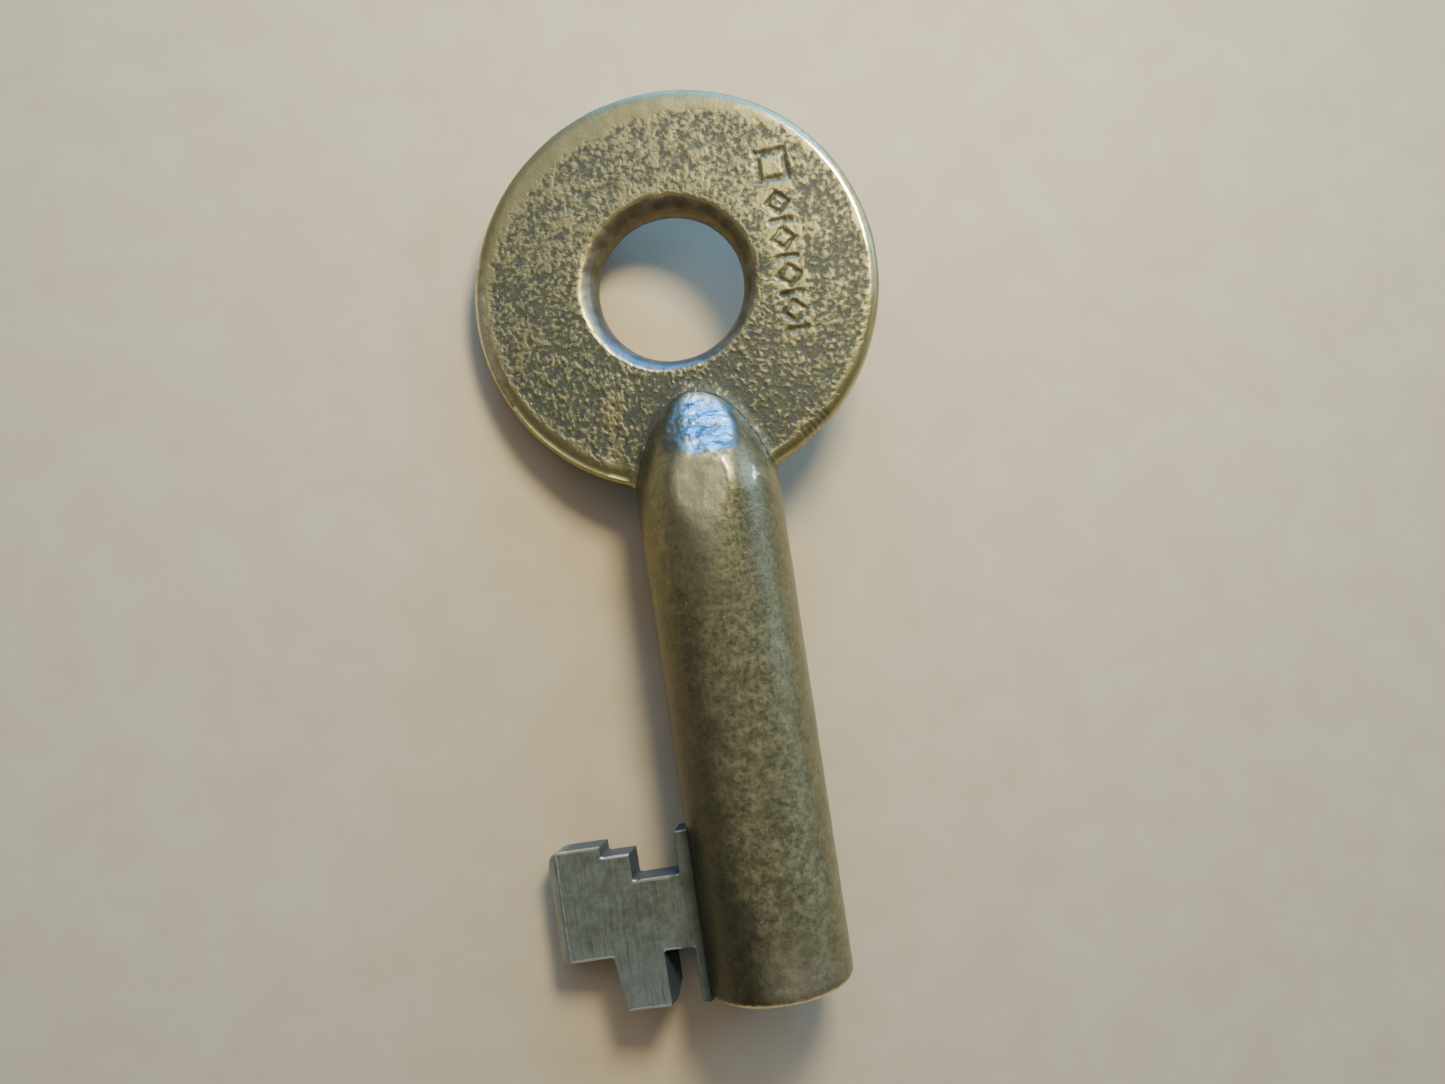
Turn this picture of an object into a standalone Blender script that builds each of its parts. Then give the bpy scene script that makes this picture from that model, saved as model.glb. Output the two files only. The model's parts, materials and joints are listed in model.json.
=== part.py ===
"""Barrel key for a railroad switch padlock: a round bow with a ring hole, a domed shoulder that runs up
onto the bow, a hollow barrel and a stepped bit. The real key is one brass casting, drilled and milled.
Here each feature is its own solid, let into its neighbours with a brazing gap between them.

Each piece is drawn in the key's own frame, with the bow's centre at the origin, the bow's front face
towards +Z and the barrel running down -Y. An empty then lays the key on the ground: it rests on its
barrel and on the bit's lower edge, so it is rolled a little about the barrel."""

import math

import bmesh
import bpy
from mathutils import Euler, Matrix, Vector

MM = 0.001

# Bow
BOW_RADIUS = 12.7 * MM
BOW_THICKNESS = 2.5 * MM
BOW_RIM_ROUND = 0.6 * MM
HOLE_CENTRE = Vector((-0.25, 0.3, 0.0)) * MM  # the ring hole was drilled slightly off centre
HOLE_FRONT_RADIUS = 5.6 * MM
HOLE_WAIST_RADIUS = 4.6 * MM
HOLE_BACK_RADIUS = 5.1 * MM
HOLE_WAIST_DEPTH = 1.8 * MM  # from the front face to the hole's narrowest ring

# Barrel and shoulder
BARREL_RADIUS = 4.43 * MM
BORE_RADIUS = 3.0 * MM
BORE_DEPTH = 25.0 * MM
DRILL_POINT = math.radians(118)
MOUTH_ROUND = 0.6 * MM
MOUTH_CHAMFER = 0.15 * MM
MOUTH_Y = -43.1 * MM
SHOULDER_TIP_Y = -6.2 * MM  # where the dome starts, inside the bow
SHOULDER_FULL_Y = -13.6 * MM  # where the dome reaches the barrel's full radius
DOME_RUN, DOME_CURL = 1.7, 0.62  # a straighter slope than an ellipse's 2.0 and 0.5
SPLIT_Y = -15.2 * MM  # where the shoulder ends and the barrel starts

# Bit: distances out from the barrel's axis, and places along it
BIT_THICKNESS = 2.7 * MM
BIT_REACH = 13.1 * MM
BIT_EDGE_ROUND = 0.8 * MM  # the outer edge, turned round before the steps were milled
BIT_TOP_CORNER = 0.9 * MM
BIT_FOOT_CORNER = 0.3 * MM
STEP_1_OUT = 9.66 * MM
STEP_2_OUT = 7.93 * MM
RIB_OUT = 5.1 * MM
TOOTH_INNER_OUT = 6.7 * MM
TOOTH_TAPER = 0.45 * MM
BIT_TOP_Y = -33.2 * MM
STEP_1_Y = -33.85 * MM
STEP_2_Y = -35.45 * MM
RIB_TOP_Y = -32.9 * MM
BIT_FOOT_Y = -39.8 * MM
TOOTH_END_Y = -43.0 * MM

BRAZE_GAP = 0.05 * MM
ROUND_STEPS = 4
BOW_SEGMENTS = 96
BARREL_SEGMENTS = 64


def clear_scene():
    for old in list(bpy.data.objects):
        bpy.data.objects.remove(old, do_unlink=True)


def brass(name, colour, roughness):
    material = bpy.data.materials.new(name)
    material.use_nodes = True
    shader = material.node_tree.nodes["Principled BSDF"]
    shader.inputs["Base Color"].default_value = (*colour, 1.0)
    shader.inputs["Metallic"].default_value = 1.0
    shader.inputs["Roughness"].default_value = roughness
    return material


def new_object(name, bm, material=None):
    bmesh.ops.recalc_face_normals(bm, faces=bm.faces)
    mesh = bpy.data.meshes.new(name)
    bm.to_mesh(mesh)
    bm.free()
    mesh.shade_smooth()
    mesh.set_sharp_from_angle(angle=math.radians(32))
    if material:
        mesh.materials.append(material)
    piece = bpy.data.objects.new(name, mesh)
    bpy.context.scene.collection.objects.link(piece)
    return piece


def quarter_round(centre, radius, start, turn):
    """Points of an arc in a profile plane, from the angle start, through turn."""
    return [
        (
            centre[0] + radius * math.cos(start + turn * i / ROUND_STEPS),
            centre[1] + radius * math.sin(start + turn * i / ROUND_STEPS),
        )
        for i in range(ROUND_STEPS + 1)
    ]


def turned(profile, segments):
    """A body turned about Z from (radius, height) points, which start and end on the axis."""
    bm = bmesh.new()
    points = [bm.verts.new((radius, 0.0, height)) for radius, height in profile]
    edges = [bm.edges.new(pair) for pair in zip(points, points[1:])]
    bmesh.ops.spin(
        bm,
        geom=points + edges,
        cent=(0, 0, 0),
        axis=(0, 0, 1),
        angle=2 * math.pi,
        steps=segments,
        use_merge=True,
    )
    bmesh.ops.remove_doubles(bm, verts=bm.verts, dist=1e-7)
    return bm


def along_barrel(bm):
    """Turns a body's +Z to the key's +Y."""
    bmesh.ops.transform(bm, matrix=Matrix.Rotation(math.radians(-90), 4, "X"), verts=bm.verts)
    return bm


def cut(piece, cutter, operation="DIFFERENCE"):
    cutter.hide_render = True
    cutter.display_type = "WIRE"
    boolean = piece.modifiers.new(cutter.name, "BOOLEAN")
    boolean.operation = operation
    boolean.solver = "EXACT"
    boolean.object = cutter


def disc():
    """The bow's blank: a disc with a rounded rim."""
    radius, half, corner = BOW_RADIUS, BOW_THICKNESS / 2, BOW_RIM_ROUND
    lower = quarter_round((radius - corner, corner - half), corner, math.radians(-90), math.radians(90))
    upper = quarter_round((radius - corner, half - corner), corner, 0.0, math.radians(90))
    return turned([(0.0, -half), *lower, *upper, (0.0, half)], BOW_SEGMENTS)


def ring_hole():
    """The hole's cutter: countersunk from the front, with its waist towards the back."""
    front, back = BOW_THICKNESS / 2, -BOW_THICKNESS / 2
    waist = front - HOLE_WAIST_DEPTH
    past = 1.0 * MM
    flare = HOLE_FRONT_RADIUS - HOLE_WAIST_RADIUS
    sides = [(HOLE_BACK_RADIUS + past, back - past), (HOLE_BACK_RADIUS, back), (HOLE_WAIST_RADIUS, waist)]
    for i in range(1, ROUND_STEPS + 1):
        part = i / ROUND_STEPS
        sides.append((HOLE_WAIST_RADIUS + flare * part**1.6, waist + HOLE_WAIST_DEPTH * part))
    sides.append((HOLE_FRONT_RADIUS + past, front + past))
    bm = turned([(0.0, back - past), *sides, (0.0, front + past)], BOW_SEGMENTS)
    bmesh.ops.translate(bm, vec=HOLE_CENTRE, verts=bm.verts)
    return bm


def dome_body(grow=0.0):
    """The shoulder's outside: a bullet nose on a short length of full-size barrel."""
    radius, tip_y, steps = BARREL_RADIUS + grow, SHOULDER_TIP_Y + grow, 16
    profile = [(0.0, SPLIT_Y), (radius, SPLIT_Y)]
    for i in range(steps + 1):
        along = math.sin(math.radians(90) * i / steps)
        around = max(0.0, 1 - along**DOME_RUN) ** DOME_CURL
        profile.append((radius * around, SHOULDER_FULL_Y + (tip_y - SHOULDER_FULL_Y) * along))
    return along_barrel(turned(profile, BARREL_SEGMENTS))


def barrel_body():
    """A tube closed at the shoulder end, with a drill point at the bottom of its bore."""
    floor_y = MOUTH_Y + BORE_DEPTH
    tip_y = floor_y + BORE_RADIUS / math.tan(DRILL_POINT / 2)
    mouth = quarter_round(
        (BARREL_RADIUS - MOUTH_ROUND, MOUTH_Y + MOUTH_ROUND), MOUTH_ROUND, math.radians(-90), math.radians(90)
    )
    profile = [
        (0.0, tip_y),
        (BORE_RADIUS, floor_y),
        (BORE_RADIUS, MOUTH_Y + MOUTH_CHAMFER),
        (BORE_RADIUS + MOUTH_CHAMFER, MOUTH_Y),
        *mouth,
        (BARREL_RADIUS, SPLIT_Y - BRAZE_GAP),
        (0.0, SPLIT_Y - BRAZE_GAP),
    ]
    return along_barrel(turned(profile, BARREL_SEGMENTS))


def bit_outline():
    """The bit's flat outline, from its root at the top, round its outer edge and back to the root."""
    root = -(BARREL_RADIUS - 1.2 * MM)
    foot_rib, foot_tooth = RIB_OUT - 0.25 * MM, STEP_1_OUT + 0.15 * MM
    top_corner = quarter_round(
        (BIT_TOP_CORNER - BIT_REACH, BIT_TOP_Y - BIT_TOP_CORNER),
        BIT_TOP_CORNER,
        math.radians(90),
        math.radians(90),
    )
    foot_corner = quarter_round(
        (BIT_FOOT_CORNER - BIT_REACH, BIT_FOOT_Y + BIT_FOOT_CORNER),
        BIT_FOOT_CORNER,
        math.radians(180),
        math.radians(90),
    )
    return [
        (root, RIB_TOP_Y),
        (-RIB_OUT, RIB_TOP_Y),
        (-RIB_OUT, STEP_2_Y),
        (-STEP_2_OUT, STEP_2_Y),
        (-STEP_2_OUT, STEP_1_Y),
        (-STEP_1_OUT, STEP_1_Y),
        (-STEP_1_OUT, BIT_TOP_Y),
        *top_corner,
        *foot_corner,
        (-foot_tooth, BIT_FOOT_Y),
        (TOOTH_TAPER - foot_tooth, TOOTH_END_Y),
        (-TOOTH_INNER_OUT, TOOTH_END_Y),
        (-TOOTH_INNER_OUT, BIT_FOOT_Y),
        (-foot_rib, BIT_FOOT_Y),
        (-foot_rib, TOOTH_END_Y),
        (root, TOOTH_END_Y),
    ]


def prism(outline, axis, low, high):
    """An outline drawn in the plane across axis ("Y" or "Z"), carried along it from low to high."""
    bm = bmesh.new()
    if axis == "Z":
        corners = [(x, y, low) for x, y in outline]
    else:
        corners = [(x, low, z) for x, z in outline]
    face = bm.faces.new([bm.verts.new(corner) for corner in corners])
    grown = bmesh.ops.extrude_face_region(bm, geom=[face])
    far = [item for item in grown["geom"] if isinstance(item, bmesh.types.BMVert)]
    travel = (0, 0, high - low) if axis == "Z" else (0, high - low, 0)
    bmesh.ops.translate(bm, vec=travel, verts=far)
    return bm


def bit_blank():
    """The plate before its steps are milled: a bar with a rounded outer edge."""
    half, corner = BIT_THICKNESS / 2, BIT_EDGE_ROUND
    upper = quarter_round((corner - BIT_REACH, half - corner), corner, math.radians(90), math.radians(90))
    lower = quarter_round((corner - BIT_REACH, corner - half), corner, math.radians(180), math.radians(90))
    return prism([(0.0, half), *upper, *lower, (0.0, -half)], "Y", TOOTH_END_Y - 1 * MM, RIB_TOP_Y + 1 * MM)


def bit_steps():
    """The stepped outline that the mill leaves, deeper than the plate is thick."""
    return prism(bit_outline(), "Z", -BIT_THICKNESS, BIT_THICKNESS)


def barrel_seat():
    """The cylinder that hollows the bit's root to sit on the barrel."""
    half = (RIB_TOP_Y - TOOTH_END_Y) / 2 + 2 * MM
    middle = (RIB_TOP_Y + TOOTH_END_Y) / 2
    radius = BARREL_RADIUS + BRAZE_GAP
    profile = [(0.0, middle - half), (radius, middle - half), (radius, middle + half), (0.0, middle + half)]
    return along_barrel(turned(profile, 2 * BARREL_SEGMENTS))


def rest_roll():
    """The roll about the barrel that brings the bit's rounded lower edge down to the ground."""
    out = BIT_REACH - BIT_EDGE_ROUND
    down = BIT_THICKNESS / 2 - BIT_EDGE_ROUND
    return math.asin((BARREL_RADIUS - BIT_EDGE_ROUND) / math.hypot(out, down)) - math.atan2(down, out)


def side_reach(out, thickness, edge_round, roll):
    """How far a rounded edge, out from the barrel's axis, reaches sideways once the key is rolled."""
    return (out - edge_round) * math.cos(roll) + (thickness / 2 - edge_round) * math.sin(roll) + edge_round


def rest_centre(roll):
    """Where the key's frame goes so that the origin is below the middle of the laid key."""
    left = -side_reach(BIT_REACH, BIT_THICKNESS, BIT_EDGE_ROUND, roll)
    right = side_reach(BOW_RADIUS, BOW_THICKNESS, BOW_RIM_ROUND, roll)
    return Vector((-(left + right) / 2, -(BOW_RADIUS + MOUTH_Y) / 2, BARREL_RADIUS))


def main():
    clear_scene()
    cast = brass("cast_brass", (0.36, 0.27, 0.13), 0.45)
    worn = brass("worn_brass", (0.28, 0.22, 0.11), 0.38)
    milled = brass("milled_brass", (0.30, 0.27, 0.15), 0.34)

    bow = new_object("bow", disc(), cast)
    hole = new_object("ring_hole_cutter", ring_hole())
    notch = new_object("shoulder_seat_cutter", dome_body(BRAZE_GAP))
    cut(bow, hole)
    cut(bow, notch)

    shoulder = new_object("shoulder", dome_body(), worn)
    barrel = new_object("barrel", barrel_body(), worn)

    bit = new_object("bit", bit_blank(), milled)
    steps = new_object("bit_steps_cutter", bit_steps())
    seat = new_object("barrel_seat_cutter", barrel_seat())
    cut(bit, steps, "INTERSECT")
    cut(bit, seat)

    key = bpy.data.objects.new("key", None)
    bpy.context.scene.collection.objects.link(key)
    roll = rest_roll()
    key.location = rest_centre(roll)
    key.rotation_euler = Euler((0.0, -roll, 0.0))
    for piece in (bow, hole, notch, shoulder, barrel, bit, steps, seat):
        piece.parent = key


main()
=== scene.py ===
"""An old brass barrel key, dressed on its CAD frame.

Shapes are worked out in the key's own frame, in millimetres: the bow's centre at the origin, its
front face towards +Z, and the barrel down -Y. key_to_row carries them into the CAD's frame."""

import json
import math
from typing import NamedTuple

import bmesh
import bpy
import numpy as np
from mathutils import Euler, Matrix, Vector, noise


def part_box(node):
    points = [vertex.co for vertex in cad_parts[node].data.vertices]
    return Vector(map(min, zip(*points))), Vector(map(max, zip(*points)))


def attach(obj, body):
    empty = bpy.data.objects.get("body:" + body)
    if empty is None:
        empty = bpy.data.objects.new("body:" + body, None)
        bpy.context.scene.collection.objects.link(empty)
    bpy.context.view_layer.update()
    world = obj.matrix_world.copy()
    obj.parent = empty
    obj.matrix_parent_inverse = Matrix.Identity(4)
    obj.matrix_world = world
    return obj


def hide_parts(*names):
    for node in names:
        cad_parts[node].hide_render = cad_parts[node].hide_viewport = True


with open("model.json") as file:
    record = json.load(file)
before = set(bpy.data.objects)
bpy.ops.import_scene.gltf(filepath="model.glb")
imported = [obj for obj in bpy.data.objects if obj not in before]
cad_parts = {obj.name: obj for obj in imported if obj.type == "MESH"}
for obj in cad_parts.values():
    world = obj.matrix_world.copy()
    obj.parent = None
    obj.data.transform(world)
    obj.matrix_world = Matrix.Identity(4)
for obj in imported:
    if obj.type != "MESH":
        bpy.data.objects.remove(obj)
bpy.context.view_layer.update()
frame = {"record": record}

MM = 0.001
FAR = 9.0  # millimetres: further than any distance that a shape here depends on

# ---- The key's own frame, from the CAD -------------------------------------------------------

mounts = {mount["name"]: mount for mount in frame["record"]["mounts"]}
barrel_low, barrel_high = (Vector(corner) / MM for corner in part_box("barrel"))
_, bow_high = (Vector(corner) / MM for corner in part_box("bow"))
bit_low, bit_high = (Vector(corner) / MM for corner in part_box("bit"))
front_up = Vector(mounts["bow_front"]["axis"])
front_at = Vector(mounts["bow_front"]["pos_m"]) / MM
back_at = Vector(mounts["bow_back"]["pos_m"]) / MM

ROLL = math.atan2(-front_up.x, front_up.z)
KEY_AT = Vector(
    ((barrel_low.x + barrel_high.x) / 2, front_at.y, (barrel_low.z + barrel_high.z) / 2)
)
KEY_TURN = Euler((0.0, -ROLL, 0.0)).to_matrix()

BOW_RADIUS = bow_high.y - KEY_AT.y
BOW_HALF = (front_at - back_at).length / 2
BARREL_RADIUS = (barrel_high.z - barrel_low.z) / 2
MOUTH_Y = barrel_low.y - KEY_AT.y
SPLIT_Y = barrel_high.y - KEY_AT.y
RIB_TOP_Y = bit_high.y - KEY_AT.y
TOOTH_END_Y = bit_low.y - KEY_AT.y
BIT_HALF = 1.35
BIT_REACH = 13.1

# The bow: its ring hole's radii at its waist and its two faces, and what is cut into its front
HOLE_CENTRE = (-0.25, 0.3)
HOLE_WAIST, HOLE_FRONT, HOLE_BACK = 4.6, 5.6, 5.1
HOLE_WAIST_Z = -0.55
RIM_ROUND = 0.6
MARKS_X, MARKS_TOP_Y = 7.2, 7.7
NICKS_ANGLE, NICK_STEP = -53.0, 1.7  # degrees round the bow, and from one nick to the next
BOW_COLUMNS = 700

# The shoulder's dome, and the two flats worn on top of it: one faces up, and one slopes to the bow
DOME_TIP_Y, DOME_FULL_Y = -6.2, -13.6
DOME_RUN, DOME_CURL = 1.7, 0.62


class Flat(NamedTuple):
    """A flat worn on the shoulder."""

    at: Vector
    up: Vector
    soft: float  # how softly it runs out into the dome, in millimetres
    curl: float  # how much it curls away on its left, per millimetre squared
    rough: float  # how uneven it is, in millimetres


TOP_FLAT = Flat(
    Vector((0.1, -13.0, 4.08)), Vector((0.0, 0.125, 1.0)).normalized(), 0.1, 0.0, 0.015
)
SLOPED_FLAT = Flat(
    Vector((0.2, -10.6, 3.66)), Vector((0.2, 0.64, 1.0)).normalized(), 0.09, 0.045, 0.08
)
CURL_FROM_X = 1.0  # a flat curls away on the left of here
SLOPED_FROM_Y = -12.0  # the sloped flat lies past here, towards the bow
FLATS_END_Y, FLATS_FULL_Y = -18.6, -13.0  # the flats fade out between these

# The barrel
BORE_RADIUS, BORE_DEPTH = 3.0, 25.0
DRILL_ANGLE = 59  # degrees between the drill point's side and its axis
MOUTH_ROUND = 0.8
BARREL_COLUMNS = 288
# The casting is this much wider at the bow than in its middle, and this much narrower at the mouth
BARREL_DRAFT, DRAFT_MIDDLE_Y, DRAFT_LENGTH = 0.06, -26.0, 14.0
# Its axis leans to the side by this much per millimetre, about this place
BARREL_LEAN, LEAN_MIDDLE_Y = 0.0075, -28.0

# The bit's steps
STEP_1_OUT, STEP_2_OUT, RIB_OUT = 9.66, 7.93, 5.1
TOOTH_INNER_OUT, TOOTH_TAPER = 6.7, 0.45
BIT_TOP_Y, STEP_1_Y, STEP_2_Y, BIT_FOOT_Y = -33.2, -33.85, -35.45, -39.8
BIT_EDGE_ROUND, BIT_TOP_CORNER, BIT_FOOT_CORNER = 0.85, 0.9, 0.3
WALL_SLANT = 0.45  # how far the tooth's inner wall leans in at its back
CORNER_CUT = 0.8  # how much shorter the tooth's end is at its back

BIT_VOXEL = 0.075  # how fine the bit's mesh is

FILLET = 0.7  # the cast fillet between the shoulder and the bow
ROOT_FILLET = 0.35  # and between the bit's rib and the barrel
FILLET_PASSES = 6


def key_to_row(points):
    """Points of the key's frame, in millimetres, as points of the CAD's frame, in metres."""
    return (np.asarray(points) @ np.array(KEY_TURN).T + np.array(KEY_AT)) * MM


# ---- Distances to the key's features: negative inside, zero on the surface -------------------


def smooth(value, low, high):
    part = np.clip((value - low) / (high - low), 0.0, 1.0)
    return part * part * (3 - 2 * part)


def barrel_radius(y):
    """The barrel's radius at y, domed down to nothing where it ends in the bow."""
    along = np.clip((y - DOME_FULL_Y) / (DOME_TIP_Y - DOME_FULL_Y), 0.0, 1.0)
    draft = BARREL_DRAFT * np.clip((y - DRAFT_MIDDLE_Y) / DRAFT_LENGTH, -1.0, 1.0)
    return (BARREL_RADIUS + draft) * (1 - along**DOME_RUN) ** DOME_CURL


def barrel_centre(y):
    return BARREL_LEAN * (y - LEAN_MIDDLE_Y)


def above_flat(p, flat):
    """How far points are above a flat of the shoulder, which curls away on its left."""
    curled = flat.curl * np.minimum(p[..., 0] - CURL_FROM_X, 0) ** 2
    return (p - np.array(flat.at)) @ np.array(flat.up) + curled


def from_barrel(p):
    step, steepest = 0.05, 3.0
    x, y, z = p[..., 0] - barrel_centre(p[..., 1]), p[..., 1], p[..., 2]
    slope = (barrel_radius(y + step) - barrel_radius(y - step)) / (2 * step)
    slant = np.sqrt(1 + np.minimum(slope**2, steepest**2))
    past_tip = np.maximum(y - DOME_TIP_Y, 0.0)
    out = (np.hypot(x, z) - barrel_radius(y)) / slant + past_tip
    above = np.where((z > 0) & (y > SLOPED_FROM_Y), above_flat(p, SLOPED_FLAT), -FAR)
    return (out + above + np.sqrt((out - above) ** 2 + SLOPED_FLAT.soft**2)) / 2


def from_bow(p):
    out = np.hypot(p[..., 0], p[..., 1]) - (BOW_RADIUS - RIM_ROUND)
    up = np.abs(p[..., 2]) - (BOW_HALF - RIM_ROUND)
    outside = np.hypot(np.maximum(out, 0), np.maximum(up, 0))
    return outside + np.minimum(np.maximum(out, up), 0) - RIM_ROUND


def from_rib(p):
    middle, half = (RIB_TOP_Y + TOOTH_END_Y) / 2, (RIB_TOP_Y - TOOTH_END_Y) / 2
    out = np.maximum(-p[..., 0] - RIB_OUT, p[..., 0])
    side = np.abs(p[..., 1] - middle) - half
    up = np.abs(p[..., 2]) - BIT_HALF
    outside = np.sqrt(sum(np.maximum(d, 0) ** 2 for d in (out, side, up)))
    return outside + np.minimum(np.maximum(np.maximum(out, side), up), 0)


def melded(points, normals, other, width):
    """Points moved out along their normals to the fillet that this surface makes with another one.
    Past the fillet's middle they fall back inside, where the other surface's half covers them."""
    rise = np.zeros(points.shape[:-1])
    for _ in range(FILLET_PASSES):
        gap = other(points + normals * rise[..., None])
        rise = np.maximum(width - np.abs(rise - gap), 0) ** 2 / (4 * width)
    gap = other(points + normals * rise[..., None])
    rise = np.where(gap < rise, np.maximum(gap, 0), rise)
    return points + normals * rise[..., None]


SEED_SHIFT = np.array((7.1, 3.7, 5.3))
ROUGHNESS, FINER_BY = 0.9, 2.0  # how fast each octave of noise fades, and how much finer it is


def wander(points, size, seed, octaves=1):
    """Noise, about -1 to 1, with features of this size in millimetres and finer ones over them."""
    places = (points.reshape(-1, 3) / size + seed * SEED_SHIFT).tolist()
    if octaves == 1:
        values = [noise.noise(p) for p in places]
    else:
        values = [noise.fractal(p, ROUGHNESS, FINER_BY, octaves) for p in places]
    return np.array(values).reshape(points.shape[:-1])


# ---- Meshes ----------------------------------------------------------------------------------


def grid_normals(rings, wrapped):
    """Unit normals of a grid of rings, each ring closed on itself."""
    around = np.roll(rings, -1, axis=1) - np.roll(rings, 1, axis=1)
    if wrapped:
        along = np.roll(rings, -1, axis=0) - np.roll(rings, 1, axis=0)
    else:
        along = np.gradient(rings, axis=0)
    normals = np.cross(along, around)
    return normals / np.maximum(np.linalg.norm(normals, axis=-1, keepdims=True), 1e-9)


def ring_faces(rows, columns, wrapped):
    low = np.arange(rows if wrapped else rows - 1)[:, None] * columns
    high = (low + columns) % (rows * columns)
    here = np.arange(columns)[None, :]
    there = (here + 1) % columns
    return np.stack([low + here, high + here, high + there, low + there], axis=-1).reshape(-1, 4)


SHARP_ANGLE = 55  # degrees: a steeper edge is shaded sharp


def new_piece(name, points, faces, node, material, **masks):
    """A piece that stands for one CAD node, with its masks as attributes of its points."""
    mesh = bpy.data.meshes.new(name)
    mesh.from_pydata(key_to_row(points).tolist(), [], [list(map(int, face)) for face in faces])
    for mask, values in masks.items():
        attribute = mesh.attributes.new(mask, "FLOAT", "POINT")
        attribute.data.foreach_set("value", np.asarray(values, np.float32).reshape(-1))
    mesh.shade_smooth()
    mesh.set_sharp_from_angle(angle=math.radians(SHARP_ANGLE))
    mesh.materials.append(material)
    piece = bpy.data.objects.new(name, mesh)
    bpy.context.scene.collection.objects.link(piece)
    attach(piece, "root")
    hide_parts(node)
    return piece


def rounded(corners):
    """A closed outline through (x, y, radius, step) corners, each rounded by its radius, with
    points at most step apart from there to the next corner."""
    outline = []
    for i, (x, y, radius, step) in enumerate(corners):
        here = np.array((x, y))
        back = np.array(corners[i - 1][:2]) - here
        on = np.array(corners[(i + 1) % len(corners)][:2]) - here
        start = here + back / np.linalg.norm(back) * radius
        end = here + on / np.linalg.norm(on) * radius
        for part in np.linspace(0, 1, 8 if radius > 0.3 else 4):
            bend = (1 - part) ** 2 * start + 2 * part * (1 - part) * here + part**2 * end
            outline.append((bend, step if part == 1 else FAR))
    filled = []
    for (here, step), (after, _) in zip(outline, outline[1:] + outline[:1]):
        pieces = max(1, math.ceil(np.linalg.norm(after - here) / step))
        filled += [here + (after - here) * k / pieces for k in range(pieces)]
    return np.array(filled)


def arc(centre, radius, start, turn, steps=8):
    """Points of an arc in a plane, from start through turn, both in degrees."""
    angles = np.radians(start + turn * np.linspace(0, 1, steps + 1))
    return [(centre[0] + radius * math.cos(a), centre[1] + radius * math.sin(a)) for a in angles]


# ---- Materials -------------------------------------------------------------------------------


def srgb(red, green, blue):
    """An sRGB colour, 0 to 255, in linear light. No colour here is on the curve's dark end."""
    return tuple(((c / 255 + 0.055) / 1.055) ** 2.4 for c in (red, green, blue))


class Layer(NamedTuple):
    """One finish of the brass: its sockets or plain values."""

    colour: object
    metal: object
    rough: object
    height: object


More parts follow.
